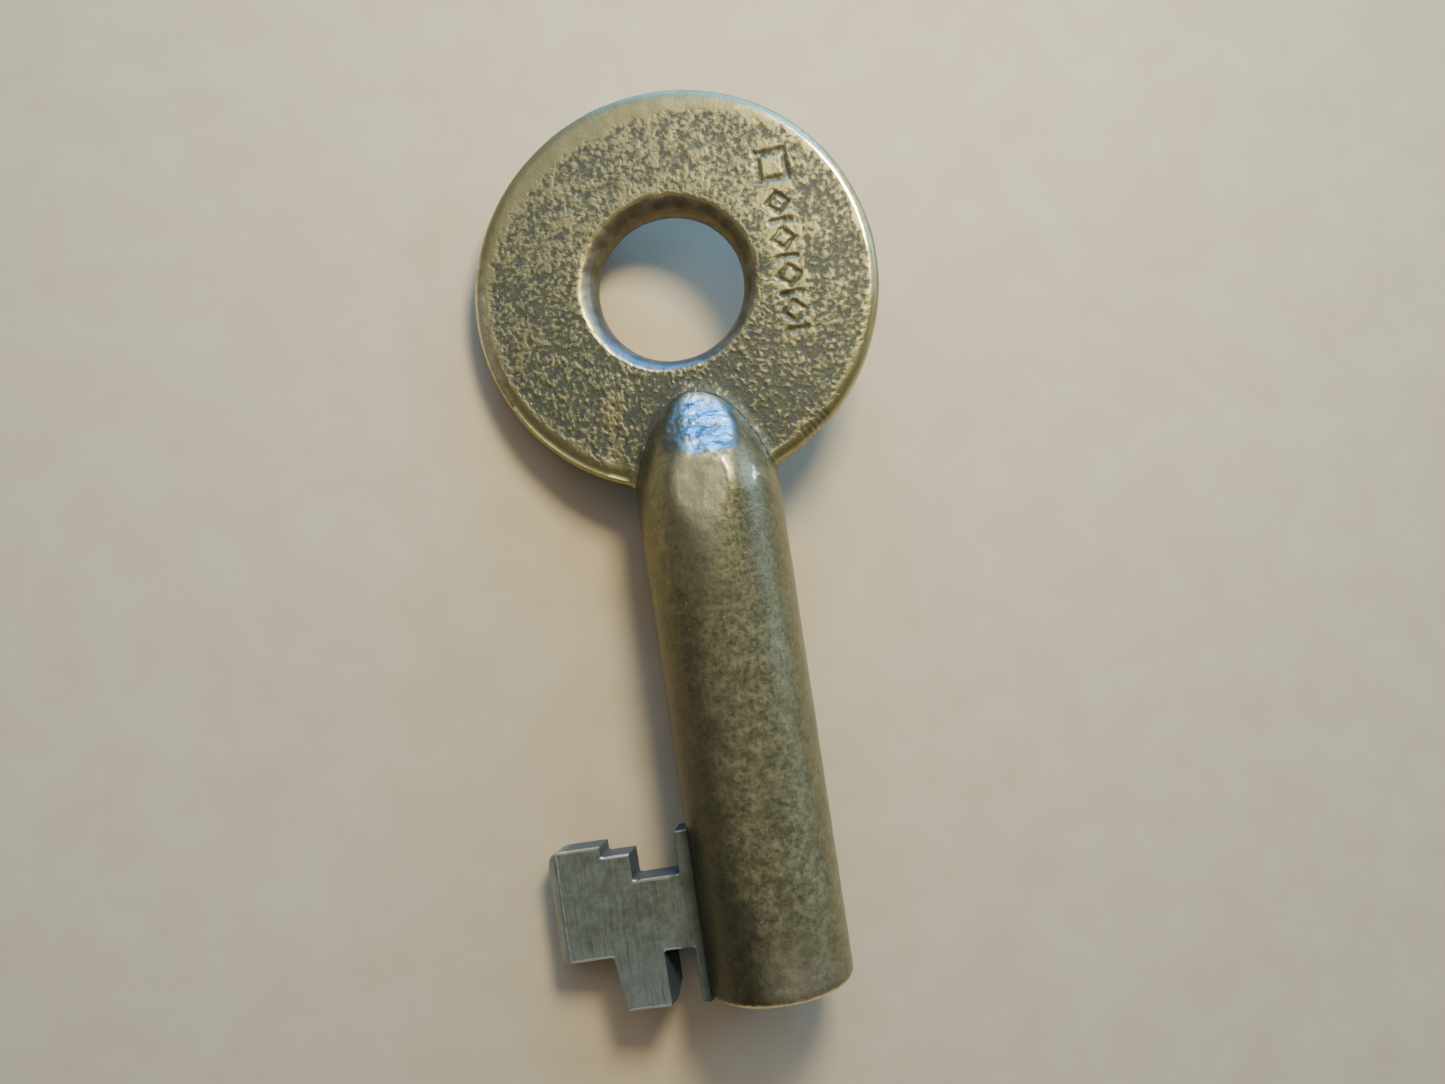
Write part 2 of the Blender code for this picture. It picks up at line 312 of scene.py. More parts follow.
class Graph:
    """A material's node tree, written as expressions: each call adds a node and returns its
    output. self.key is the shaded place in the key's own frame, in millimetres."""

    def __init__(self, name):
        self.material = bpy.data.materials.new(name)
        self.material.use_nodes = True
        self.tree = self.material.node_tree
        self.tree.nodes.clear()
        row = self.node("ShaderNodeTexCoord", output="Object")
        to_key = KEY_TURN.transposed()
        self.key = self.node(
            "ShaderNodeMapping",
            {
                "Vector": row,
                "Scale": (1 / MM,) * 3,
                "Rotation": tuple(to_key.to_euler()),
                "Location": tuple(-(to_key @ KEY_AT)),
            },
        )

    def node(self, kind, values=None, output=0, **settings):
        made = self.tree.nodes.new(kind)
        for setting, value in settings.items():
            setattr(made, setting, value)
        for socket, value in (values or {}).items():
            self.put(value, made.inputs[socket])
        return made.outputs[output]

    def put(self, value, socket):
        if isinstance(value, bpy.types.NodeSocket):
            self.tree.links.new(value, socket)
        elif socket.type == "RGBA" and len(value) == 3:
            socket.default_value = (*value, 1.0)
        else:
            socket.default_value = value

    def math(self, operation, first, second=0.0):
        return self.node("ShaderNodeMath", {0: first, 1: second}, operation=operation)

    def add(self, first, second):
        return self.math("ADD", first, second)

    def times(self, first, second):
        return self.math("MULTIPLY", first, second)

    def spread(self, value, low, high, to_low=0.0, to_high=1.0):
        """value carried from low..high to to_low..to_high, smoothly and no further."""
        ends = {"From Min": low, "From Max": high, "To Min": to_low, "To Max": to_high}
        return self.node(
            "ShaderNodeMapRange", {"Value": value, **ends}, interpolation_type="SMOOTHSTEP"
        )

    def moved(self, place, scale, shift):
        return self.node(
            "ShaderNodeMapping", {"Vector": place, "Scale": scale, "Location": (shift,) * 3}
        )

    def noise(self, scale, detail=2.0, rough=0.5, stretch=(1, 1, 1), shift=0.0):
        """Noise with so many features per millimetre, drawn out along an axis by a low stretch."""
        place = self.moved(self.key, tuple(scale * s for s in stretch), shift)
        return self.node(
            "ShaderNodeTexNoise",
            {"Vector": place, "Scale": 1.0, "Detail": detail, "Roughness": rough},
        )

    def grains(self, scale, ragged=0.25, shift=0.0):
        """Rounded grains, so many per millimetre: the distance from each one's middle, and its own
        value. ragged is how far noise pushes their edges, in millimetres."""
        finer = {"Vector": self.key, "Scale": scale * 1.4, "Detail": 2.0}
        push = self.node("ShaderNodeTexNoise", finer, output=1)
        pushed = {0: push, 1: (ragged,) * 3, 2: self.key}
        place = self.node("ShaderNodeVectorMath", pushed, operation="MULTIPLY_ADD")
        place = self.moved(place, (scale,) * 3, shift)
        away = self.node("ShaderNodeTexVoronoi", {"Vector": place, "Scale": 1.0})
        own = self.node("ShaderNodeSeparateColor", {0: away.node.outputs[1]})
        return away, own

    def mask(self, name):
        return self.node("ShaderNodeAttribute", output="Fac", attribute_name=name)

    def mix(self, amount, first, second):
        """Between two numbers, or two colours."""
        ends = (first, second)
        if any(isinstance(end, tuple) or getattr(end, "type", "") == "RGBA" for end in ends):
            return self.node(
                "ShaderNodeMix", {0: amount, 6: first, 7: second}, output=2, data_type="RGBA"
            )
        return self.node("ShaderNodeMix", {0: amount, 2: first, 3: second}, data_type="FLOAT")

    def over(self, amount, below, above):
        """One finish over another, by amount."""
        return Layer(*(self.mix(amount, a, b) for a, b in zip(below, above)))

    def finish(self, layer, bump):
        """Puts a finish on the surface. bump is how far a height of 1.0 stands up, in mm."""
        shader = self.tree.nodes.new("ShaderNodeBsdfPrincipled")
        raised = self.node(
            "ShaderNodeBump", {"Height": layer.height, "Strength": 1.0, "Distance": bump * MM}
        )
        self.put(layer.colour, shader.inputs["Base Color"])
        self.put(layer.metal, shader.inputs["Metallic"])
        self.put(layer.rough, shader.inputs["Roughness"])
        self.put(raised, shader.inputs["Normal"])
        surface = self.tree.nodes.new("ShaderNodeOutputMaterial")
        self.tree.links.new(shader.outputs[0], surface.inputs["Surface"])
        return self.material


def bow_brass(g):
    """Rubbed brass, with dark tarnish left in the casting's pits. The pits' level comes with the
    mesh, and finer noise and the casting's grains fray their edges."""
    grainy = g.mask("grainy")
    fray = g.noise(6.2, detail=4.0, rough=0.72, shift=3.0)
    cloud = g.noise(0.6, detail=4.0, rough=0.6, shift=5.0)
    tint = g.noise(2.4, detail=3.0, rough=0.6, shift=41.0)
    fine = g.noise(11.0, detail=2.0, rough=0.6, shift=43.0)
    lines = g.noise(6.0, detail=3.0, rough=0.7, stretch=(1.0, 0.06, 1.0), shift=2.0)
    away, own = g.grains(2.7, shift=4.0)
    level = g.add(g.mask("pit"), g.times(g.add(fray, -0.5), 2.6))
    level = g.add(level, g.times(g.times(g.add(away, -0.42), 2.0), grainy))
    pit = g.spread(level, -0.7, 0.9)
    pale = g.mix(g.spread(cloud, 0.3, 0.7), srgb(164, 154, 101), srgb(145, 138, 93))
    pale = g.mix(g.spread(tint, 0.45, 0.7, 0.0, 0.4), pale, srgb(152, 138, 106))
    pale = g.mix(g.spread(fray, 0.5, 0.7, 0.0, 0.6), pale, srgb(190, 176, 128))
    some_grains = g.times(g.spread(own, 0.3, 0.9), g.times(grainy, 0.4))
    pale = g.mix(some_grains, pale, srgb(178, 160, 118))
    pale = g.mix(g.spread(lines, 0.5, 0.8, 0.0, 0.2), pale, srgb(124, 112, 74))
    pale = g.mix(g.times(grainy, 0.4), pale, srgb(130, 122, 84))
    deep = g.mix(g.spread(tint, 0.38, 0.62), srgb(52, 57, 56), srgb(74, 73, 46))
    deep = g.mix(g.spread(fine, 0.48, 0.62, 0.0, 0.45), deep, srgb(112, 106, 74))
    colour = g.mix(g.times(pit, 0.95), pale, deep)
    specks = g.spread(fine, 0.52, 0.7, 0.0, g.times(grainy, 0.35))
    colour = g.mix(specks, colour, srgb(66, 64, 46))
    height = g.add(g.times(pit, -0.45), g.add(g.times(fray, 0.3), g.times(lines, 0.05)))
    rough = g.mix(pit, g.spread(cloud, 0.3, 0.7, 0.3, 0.42), 0.6)
    return Layer(colour, g.mix(pit, 0.88, 0.45), rough, height)


def bore_brass(g):
    """The ring hole's wall: dark golden brown, and blue-grey on its lower left, a painted
    reflection of the blue window lamp.
    """
    cloud = g.noise(1.2, detail=4.0, rough=0.6, shift=25.0)
    brown = g.mix(g.spread(cloud, 0.35, 0.7), srgb(110, 100, 76), srgb(138, 126, 98))
    grey = g.mix(g.spread(cloud, 0.35, 0.7), srgb(86, 95, 95), srgb(116, 125, 123))
    colour = g.mix(g.mask("rubbed"), brown, grey)
    return Layer(colour, 0.8, g.spread(cloud, 0.3, 0.7, 0.38, 0.5), g.times(cloud, 0.5))


def patina(g):
    """The barrel's handled, brown-green skin: a fine grain, and tan blotches down its middle, with
    a painted highlight lighter along its top.
    """
    mottled = g.mask("mottled")
    grain = g.noise(3.6, detail=5.0, rough=0.7, shift=8.0)
    soft = g.noise(0.9, detail=3.0, rough=0.5, shift=14.0)
    blotch = g.noise(1.6, detail=5.0, rough=0.6, shift=33.0)
    lines = g.noise(5.0, detail=3.0, rough=0.7, stretch=(1.0, 0.1, 1.0), shift=2.0)
    colour = g.mix(g.spread(soft, 0.35, 0.65), srgb(119, 114, 79), srgb(105, 100, 70))
    tan = g.times(g.spread(blotch, 0.42, 0.72), mottled)
    dark = g.times(g.spread(blotch, 0.5, 0.32, 0.0, 0.5), mottled)
    # painted highlight: lighter along the barrel's top
    colour = g.mix(g.times(mottled, 0.4), colour, srgb(142, 136, 98))
    colour = g.mix(g.times(tan, 0.8), colour, srgb(184, 173, 122))
    colour = g.mix(dark, colour, srgb(90, 84, 50))
    colour = g.mix(g.spread(grain, 0.5, 0.66, 0.0, 0.4), colour, srgb(150, 142, 106))
    colour = g.mix(g.spread(grain, 0.5, 0.36, 0.0, 0.5), colour, srgb(82, 76, 52))
    colour = g.mix(g.spread(lines, 0.5, 0.8, 0.0, 0.3), colour, srgb(92, 80, 50))
    # painted shade on the barrel's side towards the bit
    colour = g.mix(g.times(g.mask("shaded"), 0.7), colour, srgb(60, 56, 43))
    nicks = g.noise(4.6, detail=1.0, rough=0.4, shift=51.0)
    colour = g.mix(g.spread(nicks, 0.78, 0.82), colour, srgb(190, 196, 184))
    rough = g.spread(grain, 0.35, 0.65, 0.28, 0.38)
    height = g.add(g.times(grain, 0.35), g.add(g.times(blotch, 0.25), g.times(lines, 0.08)))
    return Layer(colour, 0.66, rough, height)


def scoured(g):
    """Brass rubbed bare, with lines along the key and small dark pits. On the sloped flat it is
    tinted blue-grey, a painted reflection of the blue window lamp, and broken up by dark and pale
    streaks."""
    lines = g.noise(7.0, detail=4.0, rough=0.7, stretch=(1.0, 0.14, 1.0), shift=2.5)
    pits = g.noise(2.2, detail=5.0, rough=0.68, stretch=(0.55, 1.0, 1.0), shift=17.0)
    specks = g.noise(1.3, detail=6.0, rough=0.66, stretch=(0.7, 1.0, 1.0), shift=19.0)
    slope = frayed(g, "slope", 2.6, 2.1, 0.35, 0.65)
    colour = g.mix(g.spread(lines, 0.3, 0.75), srgb(164, 156, 116), srgb(144, 137, 100))
    # painted reflection: the sloped flat tinted blue-grey
    colour = g.mix(slope, colour, srgb(160, 183, 186))
    pitted = g.spread(pits, 0.53, 0.62, 0.0, g.mix(slope, 0.3, 0.9))
    colour = g.mix(pitted, colour, srgb(66, 76, 76))
    dark_streaks = g.times(g.spread(specks, 0.5, 0.6, 0.0, 0.85), slope)
    colour = g.mix(dark_streaks, colour, srgb(84, 102, 108))
    pale_streaks = g.times(g.spread(specks, 0.46, 0.34, 0.0, 0.8), slope)
    colour = g.mix(pale_streaks, colour, srgb(238, 242, 236))
    pit_height = g.times(pits, g.mix(slope, -0.3, -1.1))
    height = g.add(g.times(lines, g.mix(slope, 0.25, 0.8)), pit_height)
    rough = g.mix(slope, g.spread(pits, 0.3, 0.7, 0.34, 0.46), 0.27)
    return Layer(colour, 0.93, rough, height)


def milled(g):
    """The bit's greenish grey sides, with file lines along the key."""
    lines = g.noise(7.0, detail=4.0, rough=0.7, stretch=(1.0, 0.07, 1.0), shift=6.0)
    cloud = g.noise(1.1, detail=5.0, rough=0.68, shift=7.0)
    colour = g.mix(g.spread(cloud, 0.32, 0.68), srgb(118, 121, 96), srgb(150, 156, 135))
    # paler towards the tooth's end, and a painted reflection along the bit's far left edge
    colour = g.mix(g.mask("pale"), colour, srgb(172, 182, 172))
    colour = g.mix(g.spread(lines, 0.5, 0.7, 0.0, 0.6), colour, srgb(84, 86, 68))
    colour = g.mix(g.spread(lines, 0.47, 0.27, 0.0, 0.45), colour, srgb(176, 178, 158))
    return Layer(colour, 0.65, g.spread(lines, 0.2, 0.8, 0.32, 0.48), g.times(lines, 0.45))


# Edges rubbed down to bare yellow brass, and on the bit to a whiter shine
BRIGHT = Layer(srgb(230, 216, 172), 0.92, 0.24, 0.4)
WHITE_EDGE = Layer(srgb(238, 234, 214), 0.9, 0.24, 0.4)
# Painted shade: dark in corners, creases and joins between parts, inside the bore, and in the
# punch marks and nicks; and the dark walls of the bit's steps, painted dark blue-grey as shade lit
# by the blue window lamp
PAINTED_SHADE = Layer(srgb(56, 58, 48), 0.5, 0.42, 0.3)
STEP_WALL_SHADE = Layer(srgb(52, 70, 80), 0.15, 0.5, 0.4)


def frayed(g, name, noise_scale, amount, low, high):
    """A mesh's mask with its edge broken up by noise."""
    ragged = g.noise(noise_scale, detail=4.0, rough=0.65, shift=21.0)
    return g.spread(g.add(g.mask(name), g.times(g.add(ragged, -0.5), amount)), low, high)


def bow_material():
    g = Graph("cast_brass")
    skin = g.over(frayed(g, "hole", 2.2, 0.5, 0.35, 0.65), bow_brass(g), bore_brass(g))
    skin = g.over(g.mask("grime"), skin, PAINTED_SHADE)
    return g.finish(g.over(frayed(g, "worn", 1.8, 0.9, 0.3, 0.8), skin, BRIGHT), bump=0.06)


def barrel_material():
    g = Graph("worn_brass")
    skin = g.over(frayed(g, "flat", 1.4, 0.9, 0.1, 0.9), patina(g), scoured(g))
    skin = g.over(g.mask("grime"), skin, PAINTED_SHADE)
    return g.finish(g.over(frayed(g, "worn", 1.8, 0.9, 0.3, 0.8), skin, BRIGHT), bump=0.05)


def bit_material():
    g = Graph("milled_brass")
    skin = g.over(g.mask("wall"), milled(g), STEP_WALL_SHADE)
    skin = g.over(g.mask("grime"), skin, PAINTED_SHADE)
    return g.finish(g.over(frayed(g, "worn", 2.2, 0.7, 0.3, 0.7), skin, WHITE_EDGE), bump=0.045)


BOW_BRASS, BARREL_BRASS, BIT_BRASS = bow_material(), barrel_material(), bit_material()


# ---- Bow -------------------------------------------------------------------------------------


def groove(distance, half):
    """How deep a cut is at this distance from its middle line, from 0 to 1."""
    return 1 - smooth(distance, half * 0.2, half * 1.6)


def punch_marks(x, y):
    """How deep the plain punch marks are on the bow's front: a hollow square, then hollow diamonds
    with bars between them down the right side."""
    across, down = x - MARKS_X, MARKS_TOP_Y - y
    box = np.abs(np.maximum(np.abs(across), np.abs(down - 1.35)) - 0.85)
    marks = groove(box, 0.19)
    for middle in (3.75, 6.05, 8.35, 10.65):
        ring = np.abs(np.abs(across) / 1.1 + np.abs(down - middle) - 0.62)
        marks = np.maximum(marks, groove(ring, 0.17))
    for middle in (4.9, 7.2, 9.5, 11.75):
        away = np.hypot(np.maximum(np.abs(across) - 0.6, 0), down - middle)
        marks = np.maximum(marks, groove(away, 0.17))
    return marks


def make_bow():
    section = rounded(
        [
            (HOLE_WAIST, HOLE_WAIST_Z, 0.3, 0.15),
            (HOLE_WAIST + 0.10, 0.15, 0.3, 0.15),
            (HOLE_WAIST + 0.42, 0.85, 0.3, 0.15),
            (HOLE_FRONT, BOW_HALF, 0.34, 0.095),
            (BOW_RADIUS, BOW_HALF, RIM_ROUND * 1.25, 0.3),
            (BOW_RADIUS, -BOW_HALF, RIM_ROUND * 1.25, 0.25),
            (HOLE_BACK, -BOW_HALF, 0.2, 0.25),
        ]
    )
    turn = np.linspace(0, 2 * math.pi, BOW_COLUMNS, endpoint=False)
    radius, height = section[:, :1], section[:, 1:]
    drift = 1 - smooth(radius, HOLE_FRONT + 0.3, BOW_RADIUS - 1.0)
    rings = np.stack(
        [
            radius * np.cos(turn) + drift * HOLE_CENTRE[0],
            radius * np.sin(turn) + drift * HOLE_CENTRE[1],
            height + 0 * turn,
        ],
        axis=-1,
    )
    normals = grid_normals(rings, wrapped=True)
    x, y, up = rings[..., 0], rings[..., 1], normals[..., 2]
    flat = smooth(np.abs(up), 0.8, 0.97)
    front = smooth(up, 0.8, 0.97)
    out = np.hypot(x, y)
    hole_out = np.hypot(x - HOLE_CENTRE[0], y - HOLE_CENTRE[1])

    def towards(angle, spread):
        """1 on the side of the bow at this angle, falling to 0 this many degrees from it."""
        away = np.abs((np.degrees(turn) - angle + 180) % 360 - 180)
        return smooth(-away, -spread, 0)

    # Where the pits are: fewest on the polished band, the file strip and the hole's lip
    top, low_left = towards(105, 80), towards(225, 60)
    polish_in = 12.4 - 1.05 * top - 0.5 * low_left - 0.2 * towards(165, 50)
    pit = 0.2 + (1.2 - 0.2 * top) * wander(rings, 0.24, 11, 2)
    pit = pit + (0.5 + 0.4 * top) * wander(rings, 0.6, 13)
    pit = pit + 0.4 * wander(rings, 2.0, 12, 2)
    pit = pit - 0.15 * top + 0.4 * towards(275, 130)
    pit = pit - 2.2 * smooth(out, polish_in - 0.9, polish_in + 0.35)
    file_strip = (1 - smooth(np.abs(x + 4.95 - 0.06 * (y + 9)), 0.25, 0.85)) * smooth(-y, 5.4, 7.0)
    pit = pit - 0.9 * file_strip * front
    pit = pit - 1.2 * (1 - smooth(hole_out, HOLE_FRONT, HOLE_FRONT + 0.3))
    angle = (np.degrees(turn) - NICKS_ANGLE + 180) % 360 - 180
    nicks = sum(1 - smooth(np.abs(angle - NICK_STEP * k), 0.2, 0.75) for k in range(-3, 3))
    nicks = nicks * smooth(out, BOW_RADIUS - 0.75, BOW_RADIUS - 0.4)
    shaky = 0.06 * wander(rings, 0.5, 31)
    marks = punch_marks(x + shaky, y - shaky) * front * (0.85 + 0.4 * wander(rings, 0.7, 32))
    by_marks = smooth(-np.abs(x - MARKS_X), -1.4, -0.8) * smooth(8.2 - y, 0, 0.5)
    by_marks = by_marks * smooth(y, -5.0, -4.4)
    pit = (pit - 0.8 * by_marks * front + 0.9 * marks) * flat - 0.8 * (1 - flat)

    # How far the surface is sunk, and how far it is moved along its normals
    roll_off = smooth(out, polish_in - 0.3, BOW_RADIUS) * (0.04 + 0.03 * top + 0.2 * low_left)
    deeper = 0.012 + 0.026 * towards(270, 110)
    relief = deeper * smooth(pit, -0.8, 1.0) * flat + 0.12 * marks + roll_off * flat
    relief = relief + 0.1 * file_strip * front * smooth(-y, 7.0, 11.0)
    relief = relief + 0.07 * nicks * (up > -0.5)
    lumps = 0.035 * wander(rings, 3.0, 1) + 0.015 * wander(rings, 0.9, 2)
    nibble = 0.06 * wander(rings, 0.9, 5, 2) * smooth(-np.abs(hole_out - HOLE_FRONT), -0.6, 0)
    outwards = np.stack([np.cos(turn), np.sin(turn), 0 * turn], axis=-1)[None]
    moved = rings + normals * (lumps - relief)[..., None] + outwards * nibble[..., None]
    moved = melded(moved, normals, from_barrel, FILLET)

    # Where it is worn bright, and where shade is painted dark: along the join with the shoulder,
    # in the punch marks and nicks, and under the rim on the lower left
    crease = (1 - smooth(np.abs(out - (BOW_RADIUS - 0.52)), 0.07, 0.24)) * (up > 0.3)
    on_front = smooth(up, 0.2, 0.5)
    rim = smooth(out, BOW_RADIUS - 0.4, BOW_RADIUS - 0.2) * on_front
    rim = rim * (0.05 + 0.4 * towards(30, 60) + 0.5 * towards(185, 50))
    left_band = towards(183, 50) * smooth(out, BOW_RADIUS - 0.95, BOW_RADIUS - 0.6) * on_front
    worn = np.maximum(crease * (0.1 + 0.95 * towards(22, 62)), rim)
    worn = np.maximum(worn, 0.68 * left_band)
    edge = smooth(-np.abs(hole_out - HOLE_FRONT), -0.2, -0.05) * smooth(up, 0.3, 0.6)
    worn = np.maximum(worn, 0.65 * edge * (0.35 + 0.65 * towards(225, 95)))
    by_shoulder = 1 - smooth(np.abs(from_barrel(moved) - 0.1), 0.0, 0.3)
    shade_mask = 0.5 * by_shoulder * flat * smooth(-y, 7.6, 10.5)
    shade_mask = np.maximum(shade_mask, 0.4 * smooth(marks, 0.3, 0.9))
    shade_mask = np.maximum(shade_mask, 0.6 * nicks * (up > -0.5))
    under_rim = smooth(out, 12.2, 12.5) * smooth(-up, -0.4, 0.1)
    shade_mask = np.maximum(shade_mask, 0.5 * under_rim * towards(240, 80))
    hole = smooth(HOLE_FRONT - hole_out, 0.0, 0.25) + (hole_out < HOLE_BACK) * (up < 0.5)
    return new_piece(
        "bow_casting",
        moved.reshape(-1, 3),
        ring_faces(len(section), BOW_COLUMNS, True),
        "bow",
        BOW_BRASS,
        pit=pit,
        grainy=(0.45 + 0.55 * towards(255, 130)) * smooth(polish_in - out, -0.3, 0.3) * flat,
        worn=worn,
        grime=shade_mask,
        hole=np.clip(hole, 0, 1),
        # painted reflection: blue-grey on the ring hole's lower-left wall
        rubbed=0 * up + towards(240, 85),
    )


# ---- Shoulder and barrel ---------------------------------------------------------------------


def turned_rings(section):
    """Rings about the barrel's leaning axis, from (radius, y) points."""
    turn = np.linspace(0, 2 * math.pi, BARREL_COLUMNS, endpoint=False)
    radius, y = section[:, :1], section[:, 1:]
    return np.stack(
        [radius * np.sin(turn) + barrel_centre(y), y + 0 * turn, radius * np.cos(turn)], axis=-1
    )


def flattened(rings):
    """The rings with the shoulder's worn flats, and how far each point was above each flat."""
    ends = smooth(rings[..., 1], FLATS_END_Y, FLATS_FULL_Y) * (rings[..., 2] > 0)
    depths = []
    uneven = wander(rings, 0.8, 9, 3) + 1.5 * wander(rings, 1.7, 10)
    uneven = uneven * smooth(from_bow(rings), 0.1, 0.9)
    for flat in (TOP_FLAT, SLOPED_FLAT):
        above = above_flat(rings, flat) + flat.rough * uneven
        cut = (above + np.sqrt(above**2 + flat.soft**2)) / 2
        cut = cut * ends * smooth(above, -2 * flat.soft, 0)
        rings = rings - cut[..., None] * np.array(flat.up)
        depths.append(above)
    return rings, *depths


def facing(points):
    """Which way places on the barrel face about its axis: how far to the side, and how far up."""
    x = points[..., 0] - barrel_centre(points[..., 1])
    out = np.maximum(np.hypot(x, points[..., 2]), 1e-6)
    return x / out, points[..., 2] / out


def handled(points):
    """How much the top of the shoulder and the barrel's first stretch are rubbed bare."""
    side, up = facing(points)
    along = smooth(points[..., 1], -25.0, -13.0)
    return 0.6 * along * smooth(up, 0.35, 0.95) * smooth(-side, -0.5, 0.0)


def away_side(points):
    """How far a place is onto the barrel's left side, towards the bit, where shade is painted
    darker.
    """
    near_mouth = smooth(-points[..., 1], 34.0, 39.0)
    turned = smooth(-facing(points)[0], 0.1 - 0.25 * near_mouth, 0.75 - 0.4 * near_mouth)
    return turned * (0.35 + 0.65 * smooth(-points[..., 1], 14.0, 32.0))


def mottled(points):
    """How much of the barrel's blotches and of its painted highlight a place has: most along its
    middle, and near its mouth.
    """
    side, up = facing(points)
    across = 1 - smooth(np.abs(side - 0.2), 0.25, 0.75)
    down = -points[..., 1]
    along = smooth(down, 14.0, 24.0)
    return (0.25 + 0.75 * across * (up > 0)) * along * (0.75 + 0.25 * smooth(down, 27.0, 36.0))


def make_shoulder():
    ys = DOME_TIP_Y - 0.02 - (DOME_TIP_Y - SPLIT_Y - 0.02) * np.linspace(0, 1, 120) ** 1.15
    section = np.stack([barrel_radius(ys), ys], axis=-1)
    section = np.vstack([section, [(0.4, SPLIT_Y - 0.01)]])
    rings, top, slope = flattened(turned_rings(section))
    normals = grid_normals(rings, wrapped=False)
    y = rings[..., 1]
    rough = 1 - smooth(-y, 9.4, 11.4)
    lumps = 0.03 * wander(rings, 2.6, 1) + (0.006 + 0.016 * rough) * wander(rings, 0.4, 2, 3)
    lumps = lumps * smooth(y, SPLIT_Y, SPLIT_Y + 0.8)
    moved = melded(rings + normals * lumps[..., None], normals, from_bow, FILLET)
    # painted shade along the join with the bow
    shade_mask = 0.6 * (1 - smooth(np.abs(from_bow(moved) - 0.12), 0.0, 0.4)) * smooth(-y, 7.6, 10.5)
    x = rings[..., 0]
    scoured_side = smooth(x, -0.9, -0.1) * smooth(y, -11.2, -10.7)
    clear = smooth(from_bow(moved), 0.02, 0.5)
    top_worn = smooth(top, -0.05, 0.2) * smooth(y, -17.0, -12.8)
    slope_worn = smooth(slope, -0.1, 0.15) * scoured_side
    # a ring of painted shade round the sloped flat
    around_slope = smooth(slope, -0.4, -0.1) * (1 - slope_worn)
    around_slope = around_slope * (rings[..., 2] > 0) * smooth(y, -11.2, -10.4)
    flat = 0.9 * np.maximum(top_worn, slope_worn)
    ridge = smooth(top, -0.08, 0.01) * (1 - smooth(top, 0.04, 0.14)) * smooth(x, 0.1, 0.9)
    sparkle = 1 - smooth(np.hypot((x - 3.35) / 0.35, (y + 12.6) / 1.2), 0.3, 1.2)
    sparkle = sparkle * smooth(wander(rings, 0.35, 41), -0.1, 0.3) * (rings[..., 2] > 0)
    return new_piece(
        "shoulder_dome",
        moved.reshape(-1, 3),
        ring_faces(len(section), BARREL_COLUMNS, False),
        "shoulder",
        BARREL_BRASS,
        flat=np.maximum(flat, handled(moved)) * (0.3 + 0.7 * clear),
        shaded=away_side(moved),
        mottled=mottled(moved),
        slope=slope_worn * (0.4 + 0.6 * clear),
        worn=np.maximum(0.7 * ridge * smooth(y, -14.0, -12.2), 0.62 * sparkle),
        grime=np.maximum(shade_mask, 0.8 * around_slope),
    )


def make_barrel():
    floor_y = MOUTH_Y + BORE_DEPTH
    drill_rise = BORE_RADIUS / math.tan(math.radians(DRILL_ANGLE))
    ys = SPLIT_Y + (MOUTH_Y + MOUTH_ROUND - SPLIT_Y) * np.linspace(0, 1, 190)
    outside = [(0.4, SPLIT_Y)] + [(float(barrel_radius(y)), y) for y in ys]
    mouth_out = outside[-1][0]
    lip = arc((mouth_out - MOUTH_ROUND, MOUTH_Y + MOUTH_ROUND), MOUTH_ROUND, 0, -90, 10)[1:]
    mouth = [(BORE_RADIUS + 0.25, MOUTH_Y), (BORE_RADIUS, MOUTH_Y + 0.25)]
    bore = [(BORE_RADIUS, y) for y in np.linspace(MOUTH_Y + 0.4, floor_y, 60)]
    point = [(BORE_RADIUS * (1 - t), floor_y + drill_rise * t) for t in (0.33, 0.66, 0.97)]
    section = np.array(outside + lip + mouth + bore + point)
    rings, _, _ = flattened(turned_rings(section))
    normals = grid_normals(rings, wrapped=False)
    y = rings[..., 1]
    outer = np.arange(len(section))[:, None] < len(outside) + len(lip)
    lumps = 0.03 * wander(rings, 2.6, 1) + 0.006 * wander(rings, 0.55, 2, 3)
    lumps = lumps * smooth(-y, -SPLIT_Y, 0.8 - SPLIT_Y) * outer
    moved = rings + normals * lumps[..., None]
    moved = np.where(outer[..., None], melded(moved, normals, from_rib, ROOT_FILLET), moved)
    # painted shade beside the rib, and all through the bore
    shade_mask = np.where(outer, 0.75 * (1 - smooth(from_rib(moved), 0.0, 0.7)), 0.75)
    patch = (1 - smooth(np.abs(rings[..., 0] - 1.2), 0.6, 2.9)) * smooth(-y, 37.0, 41.5)
    patch = patch * (rings[..., 2] > 0)
    return new_piece(
        "barrel_tube",
        moved.reshape(-1, 3),
        ring_faces(len(section), BARREL_COLUMNS, False),
        "barrel",
        BARREL_BRASS,
        flat=np.maximum(handled(moved), 0.9 * patch) * outer,
        shaded=away_side(moved),
        mottled=mottled(moved),
        slope=0 * y,
        worn=np.maximum(0.8 * smooth(-y, -MOUTH_Y - 0.75, -MOUTH_Y - 0.1), 0.5 * patch) * outer,
        grime=shade_mask,
    )


# ---- Bit -------------------------------------------------------------------------------------


def prism(name, outline, axis, low, high):
    """A helper body: an outline in the plane across axis, carried along it."""
    bm = bmesh.new()
    corners = [(x, y, low) if axis == "Z" else (x, low, y) for x, y in outline]
    face = bm.faces.new([bm.verts.new(corner) for corner in corners])
    grown = bmesh.ops.extrude_face_region(bm, geom=[face])
    far = [item for item in grown["geom"] if isinstance(item, bmesh.types.BMVert)]
    along = (0, 0, high - low) if axis == "Z" else (0, high - low, 0)
    bmesh.ops.translate(bm, vec=along, verts=far)
    bmesh.ops.recalc_face_normals(bm, faces=bm.faces)
    mesh = bpy.data.meshes.new(name)
    bm.to_mesh(mesh)
    bm.free()
    helper = bpy.data.objects.new(name, mesh)
    bpy.context.scene.collection.objects.link(helper)
    return helper


